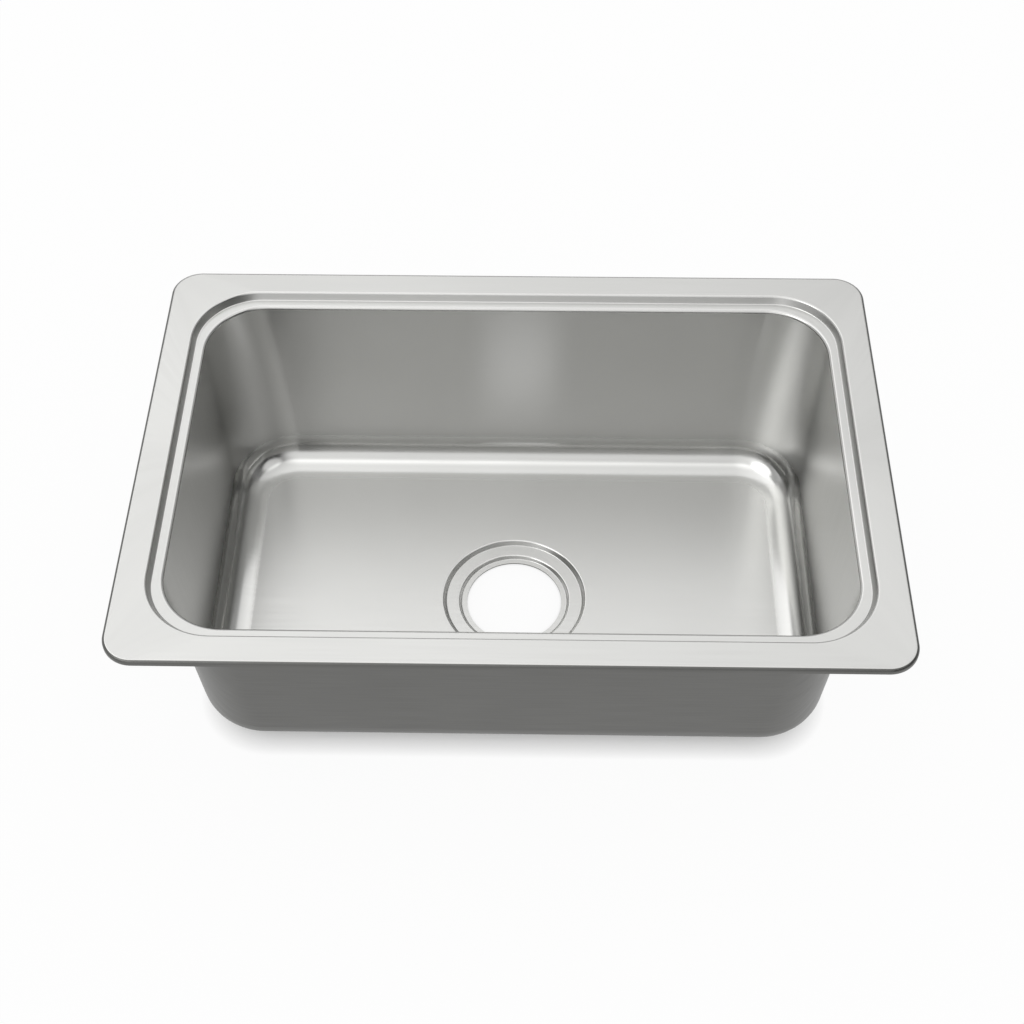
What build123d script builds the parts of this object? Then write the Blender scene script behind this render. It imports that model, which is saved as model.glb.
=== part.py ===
"""A drop-in single-bowl sink of stainless steel, with its seal, rails, hold-down clips and sound pads.

The sink stands on its drain seat at Z = 0. X runs along the rim's long side, the front is towards -Y
and Z is up. All sizes are in mm.
"""

from build123d import *
import math
import os

# Rim and its turned-down edge
sheet = 1.0
rim_length = 635.0
rim_width = 432.0
rim_corner_radius = 26.0
edge_drop = 5.0
edge_bend = 2.0

# Step from the rim down to the ledge round the bowl
rim_strip = 26.0
step_run = 2.6
step_drop = 7.2
step_corner_radius = 58.0
step_bend = 1.0
ledge_width = 9.2

# Bowl
bowl_depth = 202.0
bowl_top_corner = 53.0
bowl_foot_corner = 61.0
bowl_edge_bend = 2.0
long_wall_lean = 12.5
short_wall_lean = 6.5
floor_bend = 32.0

# Drain seat, pressed into the floor in two steps
drain_y = -6.0
drain_hole_radius = 44.45
seat_mouth_radius = 66.6
seat_run = 3.2
seat_drop = 4.0
cup_mouth_radius = 51.6
cup_run = 2.3
cup_drop = 3.0
drain_bend = 0.8
seat_margin = 5.0

# Foam seal inside the turned-down edge
seal_width = 7.0
seal_gap = 0.3
seal_recess = 0.3

# Mounting rails, C-channels under the rim
rail_sheet = 1.0
rail_bend = 0.5
rail_breadth = 10.8
rail_height = 8.0
rail_slot = 5.8
rail_inset = 18.6
long_side_rail_length = 190.0
long_side_rail_spacing = 280.0
short_side_rail_length = 240.0

# Hold-down clips
clip_share = 1 / 3
thread_diameter = 4.8
running_clearance = 0.08
bolt_head_length = 9.0
bolt_head_height = 2.4
bolt_head_clearance = 0.3
bolt_chamfer = 0.5
arm_thickness = 1.5
arm_breadth = 12.0
arm_reach = 26.0
arm_lip_height = 1.5
arm_headroom = 1.0
washer_diameter = 11.0
washer_thickness = 0.8
nut_across_flats = 9.5
nut_height = 3.2
nut_chamfer = 0.4
thread_pitch = 1.058
nut_turns = 11
bolt_end_margin = 0.5

# Sound pads under the floor
pad_length = 130.0
pad_width = 190.0
pad_thickness = 2.5
pad_corner_radius = 15.0
pad_x = 152.0

# Heights that follow from the sizes above
floor_z = seat_drop + cup_drop + sheet
rim_z = floor_z + bowl_depth
under_rim_z = rim_z - sheet
edge_z = rim_z - edge_drop
ledge_z = rim_z - step_drop
rail_low_z = under_rim_z - rail_height
rail_lip_z = rail_low_z + rail_sheet
arm_top_z = rail_low_z - arm_lip_height - arm_headroom
arm_low_z = arm_top_z - arm_thickness
washer_low_z = arm_low_z - washer_thickness
nut_low_z = washer_low_z - nut_height
nut_travel = thread_pitch * nut_turns
bolt_low_z = nut_low_z - nut_travel - bolt_end_margin
bowl_inset = rim_strip + step_run + ledge_width


def outline(inset, radius, z):
    """The rim's rounded rectangle, moved in by an inset, at a height."""
    shape = RectangleRounded(rim_length - 2 * inset, rim_width - 2 * inset, radius)
    return Pos(0, 0, z) * shape


def tapered_block(top, foot):
    """A solid with straight sides between two outlines."""
    return loft([top, foot], ruled=True)


def upright_block(inset, radius, low_z, high_z):
    """A solid of one outline between two heights."""
    return extrude(outline(inset, radius, low_z), high_z - low_z)


def edges_at(shape, z):
    """The edges of a shape that lie flat at a height."""
    return shape.edges().filter_by_position(Axis.Z, z, z)


def loop_at(shape, z, inset):
    """The closed run of edges at a height whose straight sides lie at about an inset."""
    half_long = rim_length / 2 - inset
    half_short = rim_width / 2 - inset
    reach = ledge_width / 3

    def on_loop(edge):
        box = edge.bounding_box()
        far_x = max(abs(box.min.X), abs(box.max.X))
        far_y = max(abs(box.min.Y), abs(box.max.Y))
        near_x = abs(far_x - half_long) < reach
        near_y = abs(far_y - half_short) < reach
        inside = far_x < half_long + reach and far_y < half_short + reach
        return inside and (near_x or near_y)

    return edges_at(shape, z).filter_by(on_loop)


def bowl_foot(thickness, z):
    """The bowl's outline at its foot, grown by a thickness. The long walls lean in further."""
    length = rim_length - 2 * (bowl_inset + short_wall_lean - thickness)
    width = rim_width - 2 * (bowl_inset + long_wall_lean - thickness)
    return Pos(0, 0, z) * RectangleRounded(length, width, bowl_foot_corner + thickness)


def rim_pan():
    """The flat rim with its edge turned down, before the bowl is let in."""
    skin = upright_block(0, rim_corner_radius, edge_z, rim_z)
    skin = fillet(edges_at(skin, rim_z), edge_bend + sheet)
    hollow = upright_block(sheet, rim_corner_radius - sheet, edge_z, under_rim_z)
    hollow = fillet(edges_at(hollow, under_rim_z), edge_bend)
    return skin - hollow


def drain_seat():
    """The drain's two steps, as a turned sheet."""
    outer_bend = drain_bend + sheet
    seat_z = floor_z - seat_drop
    cup_z = seat_z - cup_drop
    path = FilletPolyline(
        (seat_mouth_radius + seat_margin, floor_z),
        (seat_mouth_radius, floor_z),
        (seat_mouth_radius - seat_run, seat_z),
        (cup_mouth_radius, seat_z),
        (cup_mouth_radius - cup_run, cup_z),
        (drain_hole_radius, cup_z),
        radius=(outer_bend, drain_bend, outer_bend, drain_bend),
    )
    section = make_face(offset(path, sheet, side=Side.LEFT, closed=True))
    turned = revolve(Plane.XZ * section, Axis.Z)
    return Pos(0, drain_y, 0) * turned


def sink_pressing():
    """Rim, step, ledge, bowl and drain seat in one sheet."""
    slope = step_run / step_drop
    wall = sheet * math.hypot(1, slope)
    step_top = rim_strip + slope * sheet - wall
    step_foot = rim_strip + slope * (step_drop + sheet) - wall
    corner_shift = rim_strip + step_corner_radius
    under_ledge_z = ledge_z - sheet
    under_floor_z = floor_z - sheet

    step_skin = tapered_block(
        outline(step_top, corner_shift - step_top, under_rim_z),
        outline(step_foot, corner_shift - step_foot, under_ledge_z),
    )
    step_skin = fillet(edges_at(step_skin, under_ledge_z), step_bend + sheet)
    bowl_skin = tapered_block(
        outline(bowl_inset - sheet, bowl_top_corner + sheet, under_ledge_z),
        bowl_foot(sheet, under_floor_z),
    )
    bowl_skin = fillet(edges_at(bowl_skin, under_floor_z), floor_bend + sheet)
    body = rim_pan() + step_skin + bowl_skin
    body = fillet(loop_at(body, under_rim_z, step_top), step_bend)
    body = fillet(loop_at(body, under_ledge_z, bowl_inset - sheet), bowl_edge_bend)

    step_hollow = tapered_block(
        outline(rim_strip, step_corner_radius, rim_z),
        outline(rim_strip + step_run, step_corner_radius - step_run, ledge_z),
    )
    step_hollow = fillet(edges_at(step_hollow, ledge_z), step_bend)
    bowl_hollow = tapered_block(
        outline(bowl_inset, bowl_top_corner, ledge_z),
        bowl_foot(0, floor_z),
    )
    bowl_hollow = fillet(edges_at(bowl_hollow, floor_z), floor_bend)
    body = body - step_hollow - bowl_hollow
    body = fillet(loop_at(body, rim_z, rim_strip), step_bend + sheet)
    body = fillet(loop_at(body, ledge_z, bowl_inset), bowl_edge_bend + sheet)

    well = Cylinder(seat_mouth_radius + seat_margin, rim_z)
    return body - Pos(0, drain_y, 0) * well + drain_seat()


def rim_seal():
    """The foam strip inside the turned-down edge."""
    inset = sheet + edge_bend + seal_gap
    low_z = edge_z + seal_recess
    outer = upright_block(inset, rim_corner_radius - inset, low_z, under_rim_z)
    inner_inset = inset + seal_width
    inner = upright_block(inner_inset, rim_corner_radius - inner_inset, low_z, under_rim_z)
    return outer - inner


def rail(length):
    """A C-channel along X, open downwards, with its web under the rim."""
    half = rail_breadth / 2
    half_slot = rail_slot / 2
    outer_bend = rail_bend + rail_sheet
    path = FilletPolyline(
        (-half_slot, rail_low_z),
        (-half, rail_low_z),
        (-half, under_rim_z),
        (half, under_rim_z),
        (half, rail_low_z),
        (half_slot, rail_low_z),
        radius=outer_bend,
    )
    section = make_face(offset(path, rail_sheet, side=Side.RIGHT, closed=True))
    return extrude(Plane.YZ * section, length / 2, both=True)


def clip_bolt():
    """A bolt whose T-shaped head sits over the rail's lips."""
    head_breadth = rail_breadth - 2 * rail_sheet - 2 * bolt_head_clearance
    head_z = rail_lip_z + bolt_head_clearance
    base = Pos(0, 0, head_z) * Rectangle(bolt_head_length, head_breadth)
    head = extrude(base, bolt_head_height)
    head = chamfer(head.edges().group_by(Axis.Z)[-1], bolt_chamfer)
    shank = extrude(Pos(0, 0, bolt_low_z) * Circle(thread_diameter / 2), head_z - bolt_low_z)
    shank = chamfer(shank.edges().group_by(Axis.Z)[0], bolt_chamfer)
    return head + shank


def running_hole(low_z, height):
    """The hole of a piece that turns on the bolt."""
    return extrude(Pos(0, 0, low_z) * Circle(thread_diameter / 2 + running_clearance), height)


def clip_arm():
    """A strap that swivels on the bolt, with its tip turned up."""
    half = arm_breadth / 2
    strap = Circle(half) + Pos(arm_reach / 2, 0) * Rectangle(arm_reach, arm_breadth)
    plate = extrude(Pos(0, 0, arm_low_z) * strap, arm_thickness)
    lip_x = arm_reach - arm_thickness / 2
    lip = extrude(Pos(lip_x, 0, arm_top_z) * Rectangle(arm_thickness, arm_breadth), arm_lip_height)
    body = plate + lip
    tip = body.edges().group_by(Axis.X)[-1].group_by(Axis.Z)[0]
    body = fillet(tip, arm_thickness)
    return body - running_hole(arm_low_z, arm_thickness)


def clip_washer():
    """A flat washer under the arm."""
    disc = extrude(Pos(0, 0, washer_low_z) * Circle(washer_diameter / 2), washer_thickness)
    return disc - running_hole(washer_low_z, washer_thickness)


def clip_nut():
    """A hex nut under the washer, with its lower corners turned off."""
    corner_radius = nut_across_flats / math.sqrt(3)
    hexagon = extrude(Pos(0, 0, nut_low_z) * RegularPolygon(corner_radius, 6), nut_height)
    cone = extrude(Pos(0, 0, nut_low_z) * Circle(corner_radius), nut_height)
    cone = chamfer(cone.edges().group_by(Axis.Z)[0], nut_chamfer)
    return (hexagon & cone) - running_hole(nut_low_z, nut_height)


def sound_pad():
    """A rubber pad stuck under the floor."""
    shape = RectangleRounded(pad_length, pad_width, pad_corner_radius)
    return extrude(Pos(0, 0, floor_z - sheet - pad_thickness) * shape, pad_thickness)


def place(side_turn, along, half_span):
    """Where a piece made on the front rail's middle goes on one side of the rim."""
    return Rot(0, 0, side_turn) * Pos(along, rail_inset - half_span, 0)


def build_nodes():
    """Every node of the sink by its name."""
    nodes = {"sink_pressing": sink_pressing(), "rim_seal": rim_seal()}
    for name, along in (("left", -pad_x), ("right", pad_x)):
        nodes[f"sound_pad_{name}"] = Pos(along, 0, 0) * sound_pad()
    clip_pieces = {
        "bolt": clip_bolt(),
        "arm": clip_arm(),
        "washer": clip_washer(),
        "nut": clip_nut(),
    }
    sides = (("front", "left", "right"), ("right", "front", "rear"))
    sides += (("rear", "right", "left"), ("left", "rear", "front"))
    for turn, (side, first, second) in enumerate(sides):
        on_long_side = side in ("front", "rear")
        if on_long_side:
            half_span = rim_width / 2
            clip_x = long_side_rail_spacing / 2
        else:
            half_span = rim_length / 2
            clip_x = short_side_rail_length * clip_share
            middle = place(90 * turn, 0, half_span)
            nodes[f"rail_{side}"] = middle * rail(short_side_rail_length)
        for end, along in ((first, -clip_x), (second, clip_x)):
            spot = place(90 * turn, along, half_span)
            if on_long_side:
                nodes[f"rail_{side}_{end}"] = spot * rail(long_side_rail_length)
            for piece, shape in clip_pieces.items():
                nodes[f"clip_{side}_{end}_{piece}"] = spot * shape
    return nodes


def main():
    """Writes one STEP file for each node."""
    os.makedirs("parts", exist_ok=True)
    for name, shape in build_nodes().items():
        export_step(shape, f"parts/{name}.step")


if __name__ == "__main__":
    main()
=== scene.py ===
"""Looks of a drop-in kitchen sink of stainless steel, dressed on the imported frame.

The pressing, the foam seal, the sound pads and the clips' bolts, nuts and washers are rebuilt as fine
meshes on their CAD places. The rails and the clip arms keep their CAD shapes. Sizes are in millimetres
until a mesh is made, and the frame is in metres: X along the rim's long side, the front towards -Y, Z up.
"""

import logging
import math
from dataclasses import dataclass, field
from enum import Enum
from itertools import takewhile
from typing import Any, Optional

import bpy
import numpy as np
from mathutils import Matrix, Vector

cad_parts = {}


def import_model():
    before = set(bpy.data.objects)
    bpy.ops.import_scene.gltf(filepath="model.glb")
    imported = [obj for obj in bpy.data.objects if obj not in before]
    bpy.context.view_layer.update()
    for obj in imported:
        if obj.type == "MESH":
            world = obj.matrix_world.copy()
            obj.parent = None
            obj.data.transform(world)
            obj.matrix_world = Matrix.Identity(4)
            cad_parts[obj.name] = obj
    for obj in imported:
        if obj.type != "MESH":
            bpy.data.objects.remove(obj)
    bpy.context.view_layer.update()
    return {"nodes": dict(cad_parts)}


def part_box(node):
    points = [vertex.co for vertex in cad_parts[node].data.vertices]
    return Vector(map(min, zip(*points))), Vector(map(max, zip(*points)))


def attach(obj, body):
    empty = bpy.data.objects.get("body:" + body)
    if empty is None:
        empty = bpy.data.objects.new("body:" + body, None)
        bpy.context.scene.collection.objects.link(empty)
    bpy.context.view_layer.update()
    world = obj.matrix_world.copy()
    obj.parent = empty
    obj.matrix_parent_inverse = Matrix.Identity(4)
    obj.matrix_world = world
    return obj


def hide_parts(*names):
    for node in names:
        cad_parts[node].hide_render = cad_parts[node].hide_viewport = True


LOG = logging.getLogger("sink")
MM = 0.001
# How far under the rim's top the bolt heads' undersides lie.
BOLT_HEAD_DROP = 7.7
BENT = "bent"
SHEET_MAP = "Sheet"
WHITE = (1.0, 1.0, 1.0, 1.0)
# Most of a noise's values lie between these two.
NOISE_LOW, NOISE_HIGH = 0.3, 0.7
# With a quarter turn the mirror image smears across the brush lines.
SMEAR_TURN = 0.25
TINY = 1e-6
Socket = Any
Pair = tuple[float, float]
Direction = tuple[float, float, float]
Cuts = tuple[int, int, int]
Shape = tuple[np.ndarray, list[tuple[int, ...]]]


def linear(hex_colour: str) -> tuple[float, float, float, float]:
    """Turns an sRGB hex colour into linear RGBA.

    Args:
        hex_colour: six hex digits, such as "D0D0CE".

    Returns:
        Linear red, green, blue and an alpha of 1.
    """
    channels = []
    for start in (0, 2, 4):
        value = int(hex_colour[start:start + 2], 16) / 255
        channels.append(value / 12.92 if value <= 0.04045 else ((value + 0.055) / 1.055) ** 2.4)
    return (channels[0], channels[1], channels[2], 1.0)


def add_node(tree: bpy.types.NodeTree, kind: str, inputs: Optional[dict[Any, Any]] = None,
             **settings: Any) -> bpy.types.Node:
    """Adds one node with its settings, its fixed inputs and its links.

    Args:
        tree: the node tree that the node goes into.
        kind: the node's type name after "ShaderNode".
        inputs: input name or number to a value, or to the output socket that is linked there.
        settings: the node's own properties.

    Returns:
        The new node.
    """
    node = tree.nodes.new("ShaderNode" + kind)
    for name, value in settings.items():
        setattr(node, name, value)
    for key, value in (inputs or {}).items():
        if isinstance(value, bpy.types.NodeSocket):
            tree.links.new(value, node.inputs[key])
        else:
            node.inputs[key].default_value = value
    return node


def new_material(name: str) -> tuple[bpy.types.Material, bpy.types.NodeTree]:
    """Makes an empty node material.

    Args:
        name: the material's name.

    Returns:
        The material and its node tree, with no nodes in it.
    """
    material = bpy.data.materials.new(name)
    material.use_nodes = True
    material.node_tree.nodes.clear()
    return material, material.node_tree


def make_object(name: str, vertices: np.ndarray, faces: list[tuple[int, ...]],
                materials: list[bpy.types.Material]) -> bpy.types.Object:
    """Makes a smooth-shaded mesh object from points in millimetres.

    Args:
        name: the object's name.
        vertices: one row of x, y, z for each point, in millimetres.
        faces: point numbers of each face.
        materials: the object's material slots.

    Returns:
        The new object, linked to the scene.
    """
    mesh = bpy.data.meshes.new(name)
    mesh.from_pydata((np.asarray(vertices) * MM).tolist(), [], faces)
    mesh.validate()
    mesh.polygons.foreach_set("use_smooth", [True] * len(mesh.polygons))
    for material in materials:
        mesh.materials.append(material)
    made = bpy.data.objects.new(name, mesh)
    bpy.context.scene.collection.objects.link(made)
    return made


def rounded_ring(half: Pair, radius: float, cuts: Cuts) -> tuple[np.ndarray, np.ndarray]:
    """Walks round a rounded rectangle about the origin.

    Args:
        half: half its length in X and in Y.
        radius: its corner radius.
        cuts: the steps in each corner, along X and along Y.

    Returns:
        Its points and the outward directions there, one row each.
    """
    centre_x, centre_y = half[0] - radius, half[1] - radius
    points, looks = [], []
    signs = ((1, 1), (-1, 1), (-1, -1), (1, -1))
    for quarter, (sign_x, sign_y) in enumerate(signs):
        centre = np.array([sign_x * centre_x, sign_y * centre_y])
        for step in range(cuts[0] + 1):
            angle = math.pi / 2 * (quarter + step / cuts[0])
            look = np.array([math.cos(angle), math.sin(angle)])
            points.append(centre + radius * look)
            looks.append(look)
        next_x, next_y = signs[(quarter + 1) % 4]
        target = np.array([next_x * centre_x, next_y * centre_y]) + radius * looks[-1]
        steps = cuts[1 + quarter % 2]
        start = points[-1]
        for step in range(1, steps):
            points.append(start + (target - start) * step / steps)
            looks.append(looks[-1])
    return np.array(points), np.array(looks)


def at_height(plan: np.ndarray, height: float) -> np.ndarray:
    """Lifts points in the plan to one height.

    Args:
        plan: one row of x and y for each point.
        height: the height of all of them.

    Returns:
        One row of x, y and z for each point.
    """
    return np.hstack([plan, np.full((len(plan), 1), height)])


def skin(rows: int, around: int, closed: bool) -> list[tuple[int, ...]]:
    """Faces between rings that lie one after the other.

    Args:
        rows: how many rings there are.
        around: how many points each ring has.
        closed: True where the last ring joins the first, False where both end rings are capped.

    Returns:
        The point numbers of each face.
    """
    faces: list[tuple[int, ...]] = []
    for row in range(rows if closed else rows - 1):
        after = (row + 1) % rows
        for step in range(around):
            beside = (step + 1) % around
            faces.append((row * around + step, row * around + beside,
                          after * around + beside, after * around + step))
    if not closed:
        faces.append(tuple(range(around - 1, -1, -1)))
        faces.append(tuple(range((rows - 1) * around, rows * around)))
    return faces


class GrainSpace(Enum):
    """Which coordinates a finish draws its pattern in."""

    SHEET = "UV"
    PIECE = "Object"


@dataclass(frozen=True)
class SheetSteel:
    """Stainless steel sheet with a rolled or brushed face.

    Metal shows no colour of its own but a warm grey tint in what it mirrors. Brushing or rolling leaves
    fine lines along the sheet that smear the mirror image across them, and drawing leaves faint waves in
    it. The bends are rubbed smoother, so they mirror in sharp lines.
    """

    name: str
    hex_colour: str
    roughness: float
    bend_roughness: float
    anisotropy: float
    line_gap_mm: float
    line_length_mm: float
    line_depth_mm: float
    line_blur: float
    wave_mm: float
    wave_depth_mm: float
    tone: float

    def make(self) -> bpy.types.Material:
        """Builds the material.

        Returns:
            The finished node material.
        """
        material, tree = new_material(self.name)
        place = add_node(tree, "TexCoord").outputs[GrainSpace.SHEET.value]
        along, across = 1 / (self.line_length_mm * MM), 1 / (self.line_gap_mm * MM)
        stretched = add_node(tree, "Mapping", {"Vector": place, "Scale": (along, across, 1)})
        lines = add_node(tree, "TexNoise", {"Vector": stretched.outputs[0], "Scale": 1.0, "Detail": 1.0},
                         noise_dimensions="2D")
        wide = add_node(tree, "Mapping", {"Vector": place, "Scale": (1 / (self.wave_mm * MM),) * 3})
        waves = add_node(tree, "TexNoise", {"Vector": wide.outputs[0], "Scale": 1.0, "Detail": 1.0},
                         noise_dimensions="2D")
        bent = add_node(tree, "Attribute", attribute_name=BENT).outputs["Fac"]
        smooth = add_node(tree, "MapRange", {"Value": bent, "To Min": self.roughness,
                                             "To Max": self.bend_roughness})
        streaks = add_node(tree, "MapRange", {
            "Value": lines.outputs[0], "From Min": NOISE_LOW, "From Max": NOISE_HIGH,
            "To Min": -self.line_blur, "To Max": self.line_blur})
        blur = add_node(tree, "Math", {0: smooth.outputs[0], 1: streaks.outputs[0]}, operation="ADD")
        shade = add_node(tree, "MapRange", {
            "Value": waves.outputs[0], "From Min": NOISE_LOW, "From Max": NOISE_HIGH,
            "To Min": 1 - self.tone, "To Max": 1 + self.tone})
        colour = add_node(tree, "VectorMath", {0: linear(self.hex_colour)[:3], "Scale": shade.outputs[0]},
                          operation="SCALE")
        waved = add_node(tree, "Bump", {"Height": waves.outputs[0], "Distance": self.wave_depth_mm * MM})
        lined = add_node(tree, "Bump", {"Height": lines.outputs[0], "Distance": self.line_depth_mm * MM,
                                        "Normal": waved.outputs[0]})
        tangent = add_node(tree, "Tangent", direction_type="UV_MAP", uv_map=SHEET_MAP)
        shader = add_node(tree, "BsdfPrincipled", {
            "Base Color": colour.outputs[0], "Metallic": 1.0, "Roughness": blur.outputs[0],
            "Anisotropic": self.anisotropy, "Anisotropic Rotation": SMEAR_TURN,
            "Tangent": tangent.outputs[0], "Normal": lined.outputs[0]})
        add_node(tree, "OutputMaterial", {"Surface": shader.outputs[0]})
        return material


@dataclass(frozen=True)
class PlatedSteel:
    """Mild steel with a zinc coat, dipped or plated.

    Zinc is a bluish grey mirror. A dipped coat freezes in pale and dark crystals, a plated one is even.
    """

    name: str
    hex_colour: str
    roughness: float
    crystal_mm: float
    crystal_tone: float
    pit_mm: float
    pit_depth_mm: float
    crystal_blur: float = 0.06

    def make(self) -> bpy.types.Material:
        """Builds the material.

        Returns:
            The finished node material.
        """
        material, tree = new_material(self.name)
        place = add_node(tree, "TexCoord").outputs[GrainSpace.PIECE.value]
        crystals = add_node(tree, "TexVoronoi", {"Vector": place, "Scale": 1 / (self.crystal_mm * MM)})
        split = add_node(tree, "SeparateColor", {"Color": crystals.outputs["Color"]})
        shade = add_node(tree, "MapRange", {"Value": split.outputs[0], "To Min": 1 - self.crystal_tone,
                                            "To Max": 1 + self.crystal_tone})
        colour = add_node(tree, "VectorMath", {0: linear(self.hex_colour)[:3], "Scale": shade.outputs[0]},
                          operation="SCALE")
        blur = add_node(tree, "MapRange", {"Value": split.outputs[1],
                                           "To Min": self.roughness - self.crystal_blur,
                                           "To Max": self.roughness + self.crystal_blur})
        pits = add_node(tree, "TexNoise", {"Vector": place, "Scale": 1 / (self.pit_mm * MM), "Detail": 3.0})
        bump = add_node(tree, "Bump", {"Height": pits.outputs[0], "Distance": self.pit_depth_mm * MM})
        shader = add_node(tree, "BsdfPrincipled", {
            "Base Color": colour.outputs[0], "Metallic": 1.0, "Roughness": blur.outputs[0],
            "Normal": bump.outputs[0]})
        add_node(tree, "OutputMaterial", {"Surface": shader.outputs[0]})
        return material


@dataclass(frozen=True)
class SoftBlack:
    """Black foam or rubber.

    Carbon black swallows most light. Cells or a pebbled mould break the little gloss that is left.
    """

    name: str
    hex_colour: str
    roughness: float
    cell_mm: float
    cell_depth_mm: float
    tone: float
    dust_cells: float = 12.0

    def make(self) -> bpy.types.Material:
        """Builds the material.

        Returns:
            The finished node material.
        """
        material, tree = new_material(self.name)
        place = add_node(tree, "TexCoord").outputs[GrainSpace.PIECE.value]
        cells = add_node(tree, "TexVoronoi", {"Vector": place, "Scale": 1 / (self.cell_mm * MM)},
                         feature="SMOOTH_F1")
        dust_scale = 1 / (self.dust_cells * self.cell_mm * MM)
        dust = add_node(tree, "TexNoise", {"Vector": place, "Scale": dust_scale, "Detail": 4.0})
        shade = add_node(tree, "MapRange", {
            "Value": dust.outputs[0], "From Min": NOISE_LOW, "From Max": NOISE_HIGH,
            "To Min": 1 - self.tone, "To Max": 1 + self.tone})
        colour = add_node(tree, "VectorMath", {0: linear(self.hex_colour)[:3], "Scale": shade.outputs[0]},
                          operation="SCALE")
        bump = add_node(tree, "Bump", {"Height": cells.outputs[0], "Distance": self.cell_depth_mm * MM})
        shader = add_node(tree, "BsdfPrincipled", {
            "Base Color": colour.outputs[0], "Roughness": self.roughness, "Normal": bump.outputs[0]})
        add_node(tree, "OutputMaterial", {"Surface": shader.outputs[0]})
        return material


@dataclass(frozen=True)
class Station:
    """One place on the sheet's section: how far in, how high, and which way its face looks.

    corner is how far in the centre of the plan's corner arcs lies, and bent tells bends from flats.
    """

    inset: float
    height: float
    corner: float
    look_in: float
    look_up: float
    length: float
    bent: bool


@dataclass
class Section:
    """The sheet's section as straight runs joined by bends."""

    points: list[Pair] = field(default_factory=list)
    bends: list[float] = field(default_factory=list)
    corners: list[float] = field(default_factory=list)
    runs: list[int] = field(default_factory=list)

    def add(self, inset: float, height: float, bend: float, corner: float, run: int) -> None:
        """Adds a corner of the section.

        Args:
            inset: how far in the corner lies.
            height: the corner's height.
            bend: the visible face's bend radius there, or 0 at an end.
            corner: how far in the plan's corner centres lie at this corner.
            run: how many steps the straight run before the corner is cut into.
        """
        self.points.append((inset, height))
        self.bends.append(bend)
        self.corners.append(corner)
        self.runs.append(run)

    def stations(self, bend_steps: int, guard: float) -> list[Station]:
        """Walks the section.

        Args:
            bend_steps: steps in a bend of a right angle.
            guard: how far from a bend the first and last step of a run lie, which keeps flats flat.

        Returns:
            The stations from the first corner to the last.
        """
        found: list[Station] = []
        spot = np.array(self.points[0])
        corner, length = self.corners[0], 0.0
        for index in range(1, len(self.points)):
            target = np.array(self.points[index])
            way = target - np.array(self.points[index - 1])
            way = way / np.linalg.norm(way)
            last = index == len(self.points) - 1
            turn = back = 0.0
            if not last:
                onward = np.array(self.points[index + 1]) - target
                onward = onward / np.linalg.norm(onward)
                turn = math.atan2(way[0] * onward[1] - way[1] * onward[0], float(way @ onward))
                back = self.bends[index] * math.tan(abs(turn) / 2)
            end = target - way * back
            run = float(np.linalg.norm(end - spot))
            shares = self._shares(self.runs[index], run, guard)
            for share in shares[0 if not found else 1:]:
                place = spot + (end - spot) * share
                mixed = corner + (self.corners[index] - corner) * share
                found.append(Station(place[0], place[1], mixed, -way[1], way[0], length + run * share, False))
            length, corner, spot = length + run, self.corners[index], end
            if last:
                break
            side = np.array([-way[1], way[0]]) * math.copysign(1, turn)
            centre = end + side * self.bends[index]
            steps = max(3, round(bend_steps * abs(turn) / (math.pi / 2)))
            for step in range(1, steps + 1):
                angle = turn * step / steps
                cos, sin = math.cos(angle), math.sin(angle)
                arm = np.array([-side[0] * cos + side[1] * sin, -side[0] * sin - side[1] * cos])
                spot = centre + arm * self.bends[index]
                look = -arm * math.copysign(1, turn)
                found.append(Station(spot[0], spot[1], corner, look[0], look[1],
                                     length + abs(angle) * self.bends[index], step < steps))
            length += abs(turn) * self.bends[index]
        return found

    @staticmethod
    def _shares(run: int, length: float, guard: float) -> list[float]:
        """Cuts a straight run into steps, with a short one at each end where there is room.

        Args:
            run: how many even steps there are.
            length: the run's length.
            guard: the length of the short steps.

        Returns:
            Where the steps end, as shares of the run.
        """
        shares = [step / run for step in range(run + 1)]
        if length > 4 * guard:
            shares += [guard / length, 1 - guard / length]
        return sorted(set(shares))


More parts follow.
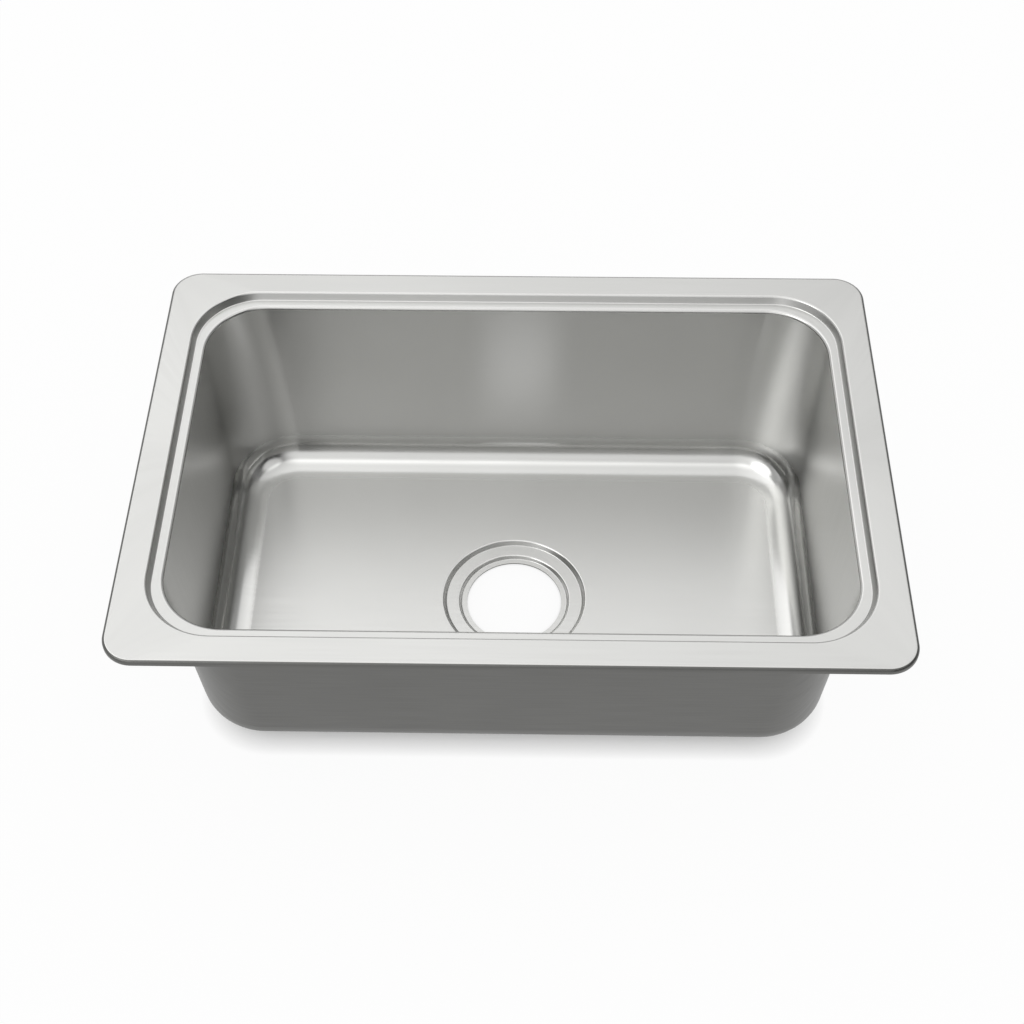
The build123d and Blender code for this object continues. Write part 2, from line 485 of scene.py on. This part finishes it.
@dataclass
class SinkPressing:
    """Rim, step, ledge, bowl and drain seat, deep drawn in one sheet."""

    node: str = "sink_pressing"
    body: str = "sink"
    sheet: float = 1.0
    rim_corner: float = 26.0
    edge_drop: float = 5.0
    edge_bend: float = 3.0
    # How far up the edge's bend the outside finish, with its painted shade, reaches, in degrees.
    edge_turn: float = 70.0
    rim_strip: float = 25.65
    step_run: float = 3.3
    step_drop: float = 7.2
    step_corner: float = 58.0
    step_bend: float = 1.0
    ledge_width: float = 8.85
    bowl_depth: float = 202.0
    bowl_top_corner: float = 53.0
    bowl_foot_corner: float = 61.0
    bowl_edge_bend: float = 3.0
    long_wall_lean: float = 12.5
    short_wall_lean: float = 6.5
    floor_bend: float = 32.0
    drain_y: float = -6.0
    drain_hole: float = 44.45
    seat_mouth: float = 66.6
    seat_run: float = 3.2
    seat_drop: float = 4.0
    cup_mouth: float = 51.6
    cup_run: float = 2.3
    drain_bend: float = 0.8
    seat_margin: float = 4.0
    corner_steps: int = 24
    long_steps: int = 44
    short_steps: int = 30
    floor_steps: int = 12
    bend_steps: int = 10
    flat_guard: float = 0.4
    drain_bend_steps: int = 8
    drain_guard: float = 0.3

    def __post_init__(self) -> None:
        """Takes the overall size from the frame."""
        low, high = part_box(self.node)
        self.half_x = (high.x - low.x) / 2 / MM
        self.half_y = (high.y - low.y) / 2 / MM
        self.rim_z = high.z / MM
        self.floor_z = self.rim_z - self.bowl_depth

    def bowl_section(self) -> list[Station]:
        """The section from the turned-down edge to the floor.

        Returns:
            Stations whose plans are rounded rectangles.
        """
        ledge_z = self.rim_z - self.step_drop
        bowl_inset = self.rim_strip + self.step_run + self.ledge_width
        foot = bowl_inset + self.long_wall_lean
        rise = self.floor_bend / (ledge_z - self.floor_z)
        step_centre = self.rim_strip + self.step_corner
        mouth_centre = bowl_inset + self.bowl_top_corner
        foot_centre = foot + self.bowl_foot_corner
        floor_centre = foot_centre - (foot_centre - mouth_centre) * rise
        section = Section()
        section.add(0, self.rim_z - self.edge_drop, 0, self.rim_corner, 1)
        section.add(0, self.rim_z, self.edge_bend, self.rim_corner, 2)
        section.add(self.rim_strip, self.rim_z, self.step_bend + self.sheet, step_centre, 4)
        section.add(self.rim_strip + self.step_run, ledge_z, self.step_bend, step_centre, 3)
        section.add(bowl_inset, ledge_z, self.bowl_edge_bend, mouth_centre, 3)
        section.add(foot, self.floor_z, self.floor_bend, floor_centre, 16)
        section.add(foot + self.floor_bend + self.seat_margin, self.floor_z, 0, floor_centre, 1)
        return section.stations(self.bend_steps, self.flat_guard)

    def drain_section(self) -> list[Station]:
        """The section of the drain's two steps, where the inset counts in from the seat's margin.

        Returns:
            Stations whose plans are circles.
        """
        start = self.seat_mouth + self.seat_margin
        seat_z = self.floor_z - self.seat_drop
        cup_z = self.sheet
        outer_bend = self.drain_bend + self.sheet
        section = Section()
        for radius, height, bend, run in (
                (start, self.floor_z, 0.0, 1), (self.seat_mouth, self.floor_z, outer_bend, 2),
                (self.seat_mouth - self.seat_run, seat_z, self.drain_bend, 2),
                (self.cup_mouth, seat_z, outer_bend, 3),
                (self.cup_mouth - self.cup_run, cup_z, self.drain_bend, 2),
                (self.drain_hole, cup_z, 0.0, 2)):
            section.add(start - radius, height, bend, 0.0, run)
        return section.stations(self.drain_bend_steps, self.drain_guard)

    def ring(self, inset: float, corner: float, height: float) -> tuple[np.ndarray, np.ndarray]:
        """A rounded rectangle round the bowl.

        Args:
            inset: how far in from the rim's long edge it lies.
            corner: how far in its corner centres lie.
            height: its height, since the short walls lean less than the long ones.

        Returns:
            Its points and the outward directions there, one row each.
        """
        ledge_z = self.rim_z - self.step_drop
        share = min(max((ledge_z - height) / (ledge_z - self.floor_z), 0.0), 1.0)
        wider = (self.long_wall_lean - self.short_wall_lean) * share
        half = (self.half_x - inset + wider, self.half_y - inset)
        return rounded_ring(half, corner - inset, (self.corner_steps, self.long_steps, self.short_steps))

    def faces_of(self, side: float) -> tuple[list[np.ndarray], list[np.ndarray], list[bool]]:
        """The rings of one face of the sheet, from the rim's edge to the drain hole.

        Args:
            side: how far under the visible face the rings lie.

        Returns:
            The rings' points, where each lay in the flat sheet before drawing, and which lie in a bend.
        """
        bowl, drain = self.bowl_section(), self.drain_section()
        floor_plan, _ = self.ring(bowl[-1].inset, bowl[-1].corner, self.floor_z)
        rings, flats = [], []
        for spot in bowl:
            plan, looks = self.ring(spot.inset - side * spot.look_in, spot.corner, spot.height)
            rings.append(at_height(plan, spot.height - side * spot.look_up))
            flats.append(floor_plan + looks * (bowl[-1].length - spot.length))
        hub = np.array([0.0, self.drain_y])
        spokes = floor_plan - hub
        spokes = spokes / np.linalg.norm(spokes, axis=1, keepdims=True)
        start = self.seat_mouth + self.seat_margin
        for step in range(1, self.floor_steps):
            share = step / self.floor_steps
            plan = floor_plan * (1 - share) + (hub + spokes * start) * share
            rings.append(at_height(plan, self.floor_z - side))
            flats.append(plan)
        for spot in drain:
            plan = hub + spokes * (start - spot.inset + side * spot.look_in)
            rings.append(at_height(plan, spot.height - side * spot.look_up))
            flats.append(hub + spokes * (start - spot.length))
        floor_bent = [False] * (self.floor_steps - 1)
        bent = [spot.bent for spot in bowl] + floor_bent + [spot.bent for spot in drain]
        return rings, flats, bent

    def build(self, inside: bpy.types.Material, outside: bpy.types.Material) -> bpy.types.Object:
        """Makes the pressing's mesh and dresses it.

        Args:
            inside: the finish of the rim, the bowl's inside and the drain seat.
            outside: the finish of the turned-down edge and the sheet's other face, whose dark grey is partly
                painted shade.

        Returns:
            The pressing's object.
        """
        top, flat_top, bent = self.faces_of(0.0)
        under, flat_under, _ = self.faces_of(self.sheet)
        loops = top + under[::-1]
        flats = flat_top + flat_under[::-1]
        count, around = len(loops), len(top[0])
        faces = skin(count, around, True)
        made = make_object("sink_pressing_sheet", np.vstack(loops), faces, [inside, outside])
        mesh = made.data
        sheet = mesh.uv_layers.new(name=SHEET_MAP)
        numbers = np.zeros(len(mesh.loops), dtype=np.int32)
        mesh.loops.foreach_get("vertex_index", numbers)
        sheet.data.foreach_set("uv", (np.vstack(flats)[numbers] * MM).ravel())
        rubbed = mesh.attributes.new(BENT, "FLOAT", "POINT")
        rubbed.data.foreach_set("value", np.repeat(np.array(bent + bent[::-1], dtype=np.float32), around))
        flat_up = math.sin(math.radians(self.edge_turn))
        edge_rows = len(list(takewhile(lambda spot: spot.look_up < flat_up, self.bowl_section())))
        rows = np.arange(len(mesh.polygons)) // around
        # The turned-down edge, and its bend until the face looks edge_turn degrees up, take the outside
        # finish, so its painted shade draws the dark band under the rim's edge.
        outer = (rows < edge_rows) | (rows >= len(top) - 1)
        mesh.polygons.foreach_set("material_index", outer.astype(np.int32))
        ends = {0, len(top) - 1, len(top), count - 1}
        sharp = mesh.attributes.new("sharp_edge", "BOOLEAN", "EDGE")
        for edge in mesh.edges:
            first, second = (number // around for number in edge.vertices)
            sharp.data[edge.index].value = first == second and first in ends
        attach(made, self.body)
        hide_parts(self.node)
        return made


@dataclass
class FoamSeal:
    """A strip of closed-cell foam inside the rim's turned-down edge."""

    node: str = "rim_seal"
    body: str = "sink"
    rim_corner: float = 26.0
    edge_inset: float = 3.3
    width: float = 7.0
    round_off: float = 1.1
    bulge: float = 0.2
    round_steps: int = 5
    cuts: Cuts = (8, 24, 16)
    crease: float = 50.0

    def build(self, foam: bpy.types.Material) -> bpy.types.Object:
        """Makes the seal's mesh and dresses it.

        Args:
            foam: the seal's finish.

        Returns:
            The seal's object.
        """
        low, high = (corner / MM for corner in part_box(self.node))
        reach = Vector((high.x + self.edge_inset, high.y + self.edge_inset))
        far = self.edge_inset + self.width
        section = [(self.edge_inset, high.z), (self.edge_inset, (low.z + high.z) / 2)]
        for step in range(self.round_steps + 1):
            turn = math.pi / 2 * step / self.round_steps
            section.append((self.edge_inset + self.round_off * (1 - math.cos(turn)),
                            low.z + self.bulge + self.round_off * (1 - math.sin(turn))))
        section.append((self.edge_inset + self.width / 2, low.z))
        for step in range(self.round_steps + 1):
            turn = math.pi / 2 * step / self.round_steps
            section.append((far - self.round_off * (1 - math.sin(turn)),
                            low.z + self.bulge + self.round_off * (1 - math.cos(turn))))
        section += [(far, (low.z + high.z) / 2), (far, high.z)]
        rings = []
        for inset, height in section:
            half = (reach.x - inset, reach.y - inset)
            plan, _ = rounded_ring(half, self.rim_corner - inset, self.cuts)
            rings.append(at_height(plan, height))
        made = make_object("rim_seal_strip", np.vstack(rings), skin(len(rings), len(rings[0]), True), [foam])
        made.data.set_sharp_from_angle(angle=math.radians(self.crease))
        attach(made, self.body)
        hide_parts(self.node)
        return made


@dataclass
class SoundPad:
    """A moulded rubber pad stuck under the bowl's floor, with a border and a sunk field."""

    node: str
    body: str = "sink"
    corner: float = 15.0
    round_off: float = 0.8
    border: float = 7.0
    sink_depth: float = 0.5
    glued_chamfer: float = 0.3
    slope: float = 0.6
    slope_middle: float = 0.2
    slope_ease: float = 0.1
    round_steps: int = 4
    cuts: Cuts = (8, 6, 9)
    crease: float = 50.0

    def build(self, rubber: bpy.types.Material) -> bpy.types.Object:
        """Makes the pad's mesh and dresses it.

        Args:
            rubber: the pad's finish.

        Returns:
            The pad's object.
        """
        low, high = (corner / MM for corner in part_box(self.node))
        half, middle = (high - low) / 2, (high + low) / 2
        section = [(self.border, high.z), (self.glued_chamfer, high.z), (0.0, high.z - self.glued_chamfer)]
        for step in range(self.round_steps + 1):
            turn = math.pi / 2 * step / self.round_steps
            section.append((self.round_off * (1 - math.cos(turn)),
                            low.z + self.round_off * (1 - math.sin(turn))))
        field_z = low.z + self.sink_depth
        section += [(self.border - self.slope, low.z),
                    (self.border - self.slope_middle, low.z + self.slope_ease),
                    (self.border + self.slope_middle, field_z - self.slope_ease),
                    (self.border + self.slope, field_z)]
        rings = []
        for inset, height in section:
            plan, _ = rounded_ring((half.x - inset, half.y - inset), self.corner - inset, self.cuts)
            rings.append(at_height(plan + np.array([middle.x, middle.y]), height))
        faces = skin(len(rings), len(rings[0]), False)
        made = make_object(f"{self.node}_moulding", np.vstack(rings), faces, [rubber])
        made.data.set_sharp_from_angle(angle=math.radians(self.crease))
        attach(made, self.body)
        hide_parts(self.node)
        return made


@dataclass
class ClipHardware:
    """The bolt, nut and washer of a hold-down clip, made about the bolt's axis."""

    thread: float = 2.4
    root: float = 1.86
    pitch: float = 1.058
    thread_top: float = 198.2
    head_length: float = 9.0
    head_chamfer: float = 0.5
    bore: float = 2.48
    flats: float = 9.5
    bevel: float = 0.12
    clearance: float = 0.02
    tip_chamfer: float = 0.1
    flank_slope: float = 2.9
    crest_share: float = 0.3
    nut_face: float = 1.07
    nut_land: float = 0.02
    countersink: float = 0.3
    crease: float = 28.0
    steps: int = 8
    nut_steps: int = 96
    washer_steps: int = 48

    def angles(self, corner: float) -> np.ndarray:
        """Directions round the axis that meet the four corners of the bolt's head.

        Args:
            corner: the direction of the first corner.

        Returns:
            The directions in radians.
        """
        corners = [corner, math.pi - corner, math.pi + corner, 2 * math.pi - corner, 2 * math.pi + corner]
        spans = [np.linspace(first, second, self.steps, endpoint=False)
                 for first, second in zip(corners, corners[1:])]
        return np.concatenate(spans)

    def bolt(self, low: float, high: float, breadth: float, head_z: float) -> Shape:
        """A bolt with a rolled right-hand thread and a T-shaped head.

        Args:
            low: the height of its tip.
            high: the height of its head's top.
            breadth: the head's breadth across the rail.
            head_z: the height of the head's underside.

        Returns:
            Its points and faces.
        """
        turns = self.angles(math.atan2(breadth, self.head_length))
        looks = np.stack([np.cos(turns), np.sin(turns)], axis=1)
        tip = self.root - self.tip_chamfer
        rings = [at_height(looks * tip, low)]
        step = self.pitch / self.steps
        for row in range(1, int((self.thread_top - low) / step)):
            height = low + row * step
            phase = (height / self.pitch - turns / (2 * math.pi)) % 1.0
            depth = np.clip(np.abs(phase - 0.5) * self.flank_slope - self.crest_share, 0.0, 1.0)
            depth = depth * min(1.0, (self.thread_top - height) / self.pitch)
            radius = self.thread - (self.thread - self.root) * depth
            radius = np.minimum(radius, tip + height - low)
            rings.append(at_height(looks * radius[:, None], height))
        rings.append(at_height(looks * self.thread, self.thread_top))
        rings.append(at_height(looks * self.thread, head_z))
        reach = np.minimum(self.head_length / 2 / np.maximum(np.abs(looks[:, 0]), TINY),
                           breadth / 2 / np.maximum(np.abs(looks[:, 1]), TINY))
        head = looks * reach[:, None]
        shrink = np.array([1 - 2 * self.head_chamfer / self.head_length, 1 - 2 * self.head_chamfer / breadth])
        rings += [at_height(head, head_z), at_height(head, high - self.head_chamfer),
                  at_height(head * shrink, high)]
        return np.vstack(rings), skin(len(rings), len(turns), False)

    def nut(self, low: float, high: float) -> Shape:
        """A hex nut with its lower corners turned off and its bore countersunk.

        Args:
            low: the height of its lower face.
            high: the height of its upper face.

        Returns:
            Its points and faces.
        """
        turns = np.linspace(0, 2 * math.pi, self.nut_steps, endpoint=False)
        looks = np.stack([np.cos(turns), np.sin(turns)], axis=1)
        reach = self.flats / 2 / np.cos(turns % (math.pi / 3) - math.pi / 6)
        face = self.flats / 2 * self.nut_face
        rings = []
        for radius, height in ((self.bore, high), (reach - self.bevel, high), (reach, high - self.bevel),
                               (reach, low + np.maximum(reach - face, self.nut_land)),
                               (np.minimum(reach - self.nut_land, face), low),
                               (self.bore + self.countersink, low), (self.bore, low + self.countersink)):
            plan = looks * np.broadcast_to(radius, turns.shape)[:, None]
            rings.append(np.hstack([plan, np.broadcast_to(height, turns.shape)[:, None]]))
        return np.vstack(rings), skin(len(rings), len(turns), True)

    def washer(self, low: float, high: float, outer: float) -> Shape:
        """A stamped washer with its edges broken.

        Args:
            low: the height of its lower face.
            high: the height of its upper face.
            outer: its outer radius.

        Returns:
            Its points and faces.
        """
        turns = np.linspace(0, 2 * math.pi, self.washer_steps, endpoint=False)
        looks = np.stack([np.cos(turns), np.sin(turns)], axis=1)
        edge = self.bevel
        section = [(self.bore, high - edge), (self.bore + edge, high),
                   (outer - edge, high), (outer, high - edge),
                   (outer, low + edge), (outer - edge, low),
                   (self.bore + edge, low), (self.bore, low + edge)]
        rings = [at_height(looks * radius, height) for radius, height in section]
        return np.vstack(rings), skin(len(rings), len(turns), True)

    def build(self, clip: str, turn: float, zinc: bpy.types.Material,
              head_z: float) -> list[bpy.types.Object]:
        """Makes one clip's three pieces and dresses them.

        Args:
            clip: the clip's name.
            turn: how far the clip's side of the rim is turned from the front, in degrees.
            zinc: the pieces' finish.
            head_z: the height of the bolt head's underside.

        Returns:
            The bolt, the nut and the washer.
        """
        boxes = {piece: [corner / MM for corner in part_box(f"{clip}_{piece}")]
                 for piece in ("bolt", "nut", "washer")}
        low, high = boxes["washer"]
        middle = (low + high) / 2
        bolt_low, bolt_high = boxes["bolt"]
        nut_low, nut_high = boxes["nut"]
        breadth = min(bolt_high.x - bolt_low.x, bolt_high.y - bolt_low.y)
        shapes = {"bolt": self.bolt(bolt_low.z, bolt_high.z, breadth, head_z),
                  "nut": self.nut(nut_low.z, nut_high.z - self.clearance),
                  "washer": self.washer(low.z, high.z, (high.x - low.x) / 2)}
        cos, sin = math.cos(math.radians(turn)), math.sin(math.radians(turn))
        spin = np.array([[cos, sin, 0], [-sin, cos, 0], [0, 0, 1]])
        made = []
        for piece, (points, faces) in shapes.items():
            placed = points @ spin + np.array([middle.x, middle.y, 0])
            item = make_object(f"{clip}_{piece}_turned", placed, faces, [zinc])
            item.data.set_sharp_from_angle(angle=math.radians(self.crease))
            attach(item, f"{clip}_{piece}")
            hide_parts(f"{clip}_{piece}")
            made.append(item)
        return made


@dataclass(frozen=True)
class SoftLight:
    """A round field of light: its middle, the cosine of its rim's angle, half its softness and its level."""

    axis: Direction
    edge: float
    soft: float
    light: float


@dataclass
class Studio:
    """Floor, soft light and the camera.

    rim_z and what ends in mm are in millimetres, other lengths in metres and angles in degrees.
    """

    rim_z: float
    floor_size: float = 12.0
    floor_drop_mm: float = 0.2
    lens_mm: float = 58.49
    sensor_mm: float = 36.0
    near_clip: float = 0.05
    camera_mm: Direction = (19.5, -915.2, 1071.3)
    pitch: float = 51.55
    yaw: float = -1.32
    roll: float = -0.44
    floor_hex: str = "F4F4F3"
    floor_white: float = 0.95
    # Reach of the painted contact shadow round the sink's foot.
    painted_contact_shadow_mm: float = 23.0
    painted_contact_shadow_samples: int = 8
    room: float = 0.8
    overhead: SoftLight = SoftLight((-0.021, 0.157, 1.0), 0.729, 0.047, 1.071)
    overhead_tilt: Direction = (-0.633, 0.331, 0.185)
    fronts: tuple[SoftLight, ...] = (SoftLight((-0.164, -0.806, 0.569), 0.868, 0.113, 1.03),
                                     SoftLight((-0.59, -0.395, 0.707), 0.961, 0.018, 2.0),
                                     SoftLight((0.59, -0.395, 0.707), 0.961, 0.018, 0.8))
    low_light: float = 0.53
    low_tilt: Direction = (-0.36, 0.202, -0.473)
    dark_light: float = 0.25
    dark_tilt: Direction = (0.0, 0.388, 0.0)
    softbox_place: Direction = (-0.5, 0.9, 2.4)
    softbox_size: float = 3.2
    softbox_watts: float = 9.0

    def add_camera(self) -> bpy.types.Object:
        """Sets the camera where the photograph was taken from.

        Returns:
            The camera.
        """
        pitch, yaw, roll = (math.radians(turn) for turn in (self.pitch, self.yaw, self.roll))
        ahead = Vector((math.sin(yaw) * math.cos(pitch), math.cos(yaw) * math.cos(pitch), -math.sin(pitch)))
        level = Vector((math.cos(yaw), -math.sin(yaw), 0))
        upright = level.cross(ahead)
        right = level * math.cos(roll) + upright * math.sin(roll)
        above = upright * math.cos(roll) - level * math.sin(roll)
        lens = bpy.data.cameras.new("camera")
        lens.lens, lens.sensor_width, lens.clip_start = self.lens_mm, self.sensor_mm, self.near_clip
        camera = bpy.data.objects.new("camera", lens)
        axes = Matrix((right, above, -ahead)).transposed().to_4x4()
        place = Vector(self.camera_mm) + Vector((0, 0, self.rim_z))
        camera.matrix_world = Matrix.Translation(place * MM) @ axes
        bpy.context.scene.collection.objects.link(camera)
        bpy.context.scene.camera = camera
        return camera

    @staticmethod
    def seen_share(tree: bpy.types.NodeTree) -> Socket:
        """Tells rays that show a surface to the eye from rays that only light something.

        Args:
            tree: the node tree that asks.

        Returns:
            A socket that is 1 for camera, mirror and see-through rays, and 0 for the rest.
        """
        path = add_node(tree, "LightPath")
        seen = add_node(tree, "Math", {0: path.outputs["Is Camera Ray"], 1: path.outputs["Is Glossy Ray"]},
                        operation="MAXIMUM")
        return add_node(tree, "Math", {0: seen.outputs[0], 1: path.outputs["Is Transmission Ray"]},
                        operation="MAXIMUM").outputs[0]

    def add_floor(self) -> bpy.types.Object:
        """Lays a plain pale floor that whitens for the eye and keeps the sink's shadow, with a painted
        contact shadow where ambient occlusion near the sink fades the white.

        Returns:
            The floor.
        """
        material, tree = new_material("matt_white_paper")
        # Painted contact shadow: near the sink the ambient occlusion fades the floor's white, which darkens
        # the floor there beyond its real shadow.
        near = add_node(tree, "AmbientOcclusion", {"Distance": self.painted_contact_shadow_mm * MM},
                        samples=self.painted_contact_shadow_samples)
        open_share = add_node(tree, "MapRange", {"Value": near.outputs["AO"], "To Min": 0.0,
                                                 "To Max": self.floor_white})
        share = add_node(tree, "Math", {0: self.seen_share(tree), 1: open_share.outputs[0]},
                         operation="MULTIPLY")
        paper = add_node(tree, "BsdfDiffuse", {"Color": linear(self.floor_hex)})
        white = add_node(tree, "Emission", {"Color": WHITE, "Strength": 1.0})
        mixed = add_node(tree, "MixShader", {0: share.outputs[0], 1: paper.outputs[0], 2: white.outputs[0]})
        add_node(tree, "OutputMaterial", {"Surface": mixed.outputs[0]})
        half = self.floor_size / 2 / MM
        plan = np.array([(-half, -half), (half, -half), (half, half), (-half, half)])
        floor = make_object("floor", at_height(plan, -self.floor_drop_mm), [(0, 1, 2, 3)], [material])
        return floor

    def add_world(self) -> None:
        """Surrounds the sink with a white room that has a wide field of light overhead and three in front.

        Low down the room is darker to the right. Only mirrors see that: the eye sees plain white, and matt
        pieces are lit evenly.
        """
        world = bpy.data.worlds.new("white_room")
        bpy.context.scene.world = world
        world.use_nodes = True
        tree = world.node_tree
        tree.nodes.clear()
        place = add_node(tree, "TexCoord").outputs["Generated"]
        dark = self.tilted(tree, place, self.dark_light, self.dark_tilt)
        low = add_node(tree, "Math", {0: self.tilted(tree, place, self.low_light, self.low_tilt), 1: dark},
                       operation="MAXIMUM").outputs[0]
        high = self.tilted(tree, place, self.overhead.light, self.overhead_tilt)
        level = self.light_field(tree, place, self.overhead, (low, high))
        for front in self.fronts:
            more = self.light_field(tree, place, front, (0.0, front.light))
            level = add_node(tree, "Math", {0: level, 1: more}, operation="ADD").outputs[0]
        path = add_node(tree, "LightPath")
        room = add_node(tree, "Background", {"Color": WHITE, "Strength": self.room})
        mirrored = add_node(tree, "Background", {"Color": WHITE, "Strength": level})
        white = add_node(tree, "Background", {"Color": WHITE, "Strength": 1.0})
        lit = add_node(tree, "MixShader", {0: path.outputs["Is Glossy Ray"], 1: room.outputs[0],
                                           2: mirrored.outputs[0]})
        seen = add_node(tree, "Math", {0: path.outputs["Is Camera Ray"],
                                       1: path.outputs["Is Transmission Ray"]}, operation="MAXIMUM")
        mixed = add_node(tree, "MixShader", {0: seen.outputs[0], 1: lit.outputs[0], 2: white.outputs[0]})
        add_node(tree, "OutputWorld", {"Surface": mixed.outputs[0]})

    @staticmethod
    def light_field(tree: bpy.types.NodeTree, place: Socket, light: SoftLight,
                    levels: tuple[Any, Any]) -> Socket:
        """A round field of light with a soft rim.

        Args:
            tree: the node tree that it goes into.
            place: the direction that is looked in.
            light: where the field lies.
            levels: the level outside and inside, as numbers or sockets.

        Returns:
            The level in that direction.
        """
        facing = add_node(tree, "VectorMath", {0: place, 1: Vector(light.axis).normalized()},
                          operation="DOT_PRODUCT")
        return add_node(tree, "MapRange", {
            "Value": facing.outputs["Value"],
            "From Min": light.edge - light.soft, "From Max": light.edge + light.soft,
            "To Min": levels[0], "To Max": levels[1]}, interpolation_type="SMOOTHSTEP").outputs[0]

    @staticmethod
    def tilted(tree: bpy.types.NodeTree, place: Socket, level: float, tilt: Direction) -> Socket:
        """A level that grows along one direction.

        Args:
            tree: the node tree that it goes into.
            place: the direction that is looked in.
            level: the level straight across the tilt.
            tilt: how much the level grows along X, Y and Z.

        Returns:
            The level in that direction.
        """
        along = add_node(tree, "VectorMath", {0: place, 1: tilt}, operation="DOT_PRODUCT")
        return add_node(tree, "Math", {0: along.outputs["Value"], 1: level}, operation="ADD").outputs[0]

    def add_softbox(self) -> bpy.types.Object:
        """Hangs a square soft box that looks at the sink and shows in no mirror.

        Returns:
            The lamp.
        """
        light = bpy.data.lights.new("overhead_softbox", "AREA")
        light.shape, light.size, light.energy = "SQUARE", self.softbox_size, self.softbox_watts
        lamp = bpy.data.objects.new("overhead_softbox", light)
        lamp.visible_glossy = False
        place = Vector(self.softbox_place)
        aim = Vector((0, 0, self.rim_z * MM / 2)) - place
        lamp.matrix_world = Matrix.Translation(place) @ aim.to_track_quat("-Z", "Y").to_matrix().to_4x4()
        bpy.context.scene.collection.objects.link(lamp)
        return lamp


# Brushed along the rim: what it mirrors smears into long soft bands, and the rubbed bends show sharp lines.
# Real brush lines lie about 0.1 mm apart, too fine to show, so they are drawn 1.6 mm apart.
SATIN_STEEL = SheetSteel(
    name="satin_stainless_steel", hex_colour="CBCBC9", roughness=0.31, bend_roughness=0.15, anisotropy=0.75,
    line_gap_mm=1.6, line_length_mm=90.0, line_depth_mm=0.0012, line_blur=0.02,
    wave_mm=110.0, wave_depth_mm=0.05, tone=0.01)
# As it came from the mill: an even dull grey with hardly a line, drawn as coarse as the brushed side's. The
# dull finish is real, but how dark it is, is painted shade that stands in for the shaded floor the outside
# and the turned-down edge would mirror.
MILL_STEEL_WITH_PAINTED_SHADE = SheetSteel(
    name="mill_steel_with_painted_shade", hex_colour="6B6B69", roughness=0.38, bend_roughness=0.38, anisotropy=0.2,
    line_gap_mm=1.6, line_length_mm=60.0, line_depth_mm=0.002, line_blur=0.04,
    wave_mm=80.0, wave_depth_mm=0.08, tone=0.015)
# Dipped in zinc: a spangle of pale and dark crystals.
GALVANISED_STEEL = PlatedSteel(
    name="hot_dip_galvanised_steel", hex_colour="B9BCBE", roughness=0.42, crystal_mm=6.0, crystal_tone=0.12,
    pit_mm=0.8, pit_depth_mm=0.02)
# Plated with zinc: a brighter, even, bluish coat.
ZINC_STEEL = PlatedSteel(
    name="bright_zinc_plated_steel", hex_colour="C9CDD2", roughness=0.28, crystal_mm=2.0, crystal_tone=0.03,
    pit_mm=0.5, pit_depth_mm=0.01)
# Foam cut through its cells: dead matt, with pin pricks of shade.
SEAL_FOAM = SoftBlack(
    name="black_closed_cell_foam", hex_colour="26262A", roughness=0.9, cell_mm=0.6, cell_depth_mm=0.15,
    tone=0.15)
# Rubber from a pebbled mould: a dull sheen, broken by low pebbles.
PAD_RUBBER = SoftBlack(
    name="sound_pad_rubber", hex_colour="1E1E20", roughness=0.75, cell_mm=1.5, cell_depth_mm=0.08, tone=0.2)

# How far each side of the rim is turned from the front, in degrees.
SIDE_TURNS = {"front": 0.0, "right": 90.0, "rear": 180.0, "left": 270.0}


def dress_clips(nodes: dict[str, bpy.types.Object], head_z: float) -> list[bpy.types.Object]:
    """Dresses the rails and the clips under the rim.

    Args:
        nodes: the frame's CAD objects by node name.
        head_z: the height of the bolt heads' undersides.

    Returns:
        The rails, the arms and the new bolts, nuts and washers.
    """
    galvanised, zinc = GALVANISED_STEEL.make(), ZINC_STEEL.make()
    hardware = ClipHardware()
    dressed = []
    for name, node in nodes.items():
        if name.startswith("rail") or name.endswith("arm"):
            node.data.materials.clear()
            node.data.materials.append(galvanised)
            dressed.append(node)
        if name.endswith("_bolt"):
            clip = name.removesuffix("_bolt")
            dressed += hardware.build(clip, SIDE_TURNS[clip.split("_")[1]], zinc, head_z)
    return dressed


def main() -> None:
    """Builds the sink's looks round the frame, sets the scene and reports each piece."""
    logging.basicConfig(level=logging.INFO, format="%(name)s: %(message)s")
    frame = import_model()
    pressing = SinkPressing()
    pieces = [pressing.build(SATIN_STEEL.make(), MILL_STEEL_WITH_PAINTED_SHADE.make()), FoamSeal().build(SEAL_FOAM.make())]
    rubber = PAD_RUBBER.make()
    pieces += [SoundPad(f"sound_pad_{side}").build(rubber) for side in ("left", "right")]
    pieces += dress_clips(frame["nodes"], pressing.rim_z - BOLT_HEAD_DROP)
    for piece in pieces:
        LOG.info("%s: %d faces", piece.name, len(piece.data.polygons))
    studio = Studio(pressing.rim_z)
    studio.add_camera()
    studio.add_floor()
    studio.add_world()
    studio.add_softbox()
    bpy.context.scene.view_settings.view_transform = "Standard"


if __name__ == "__main__":
    main()
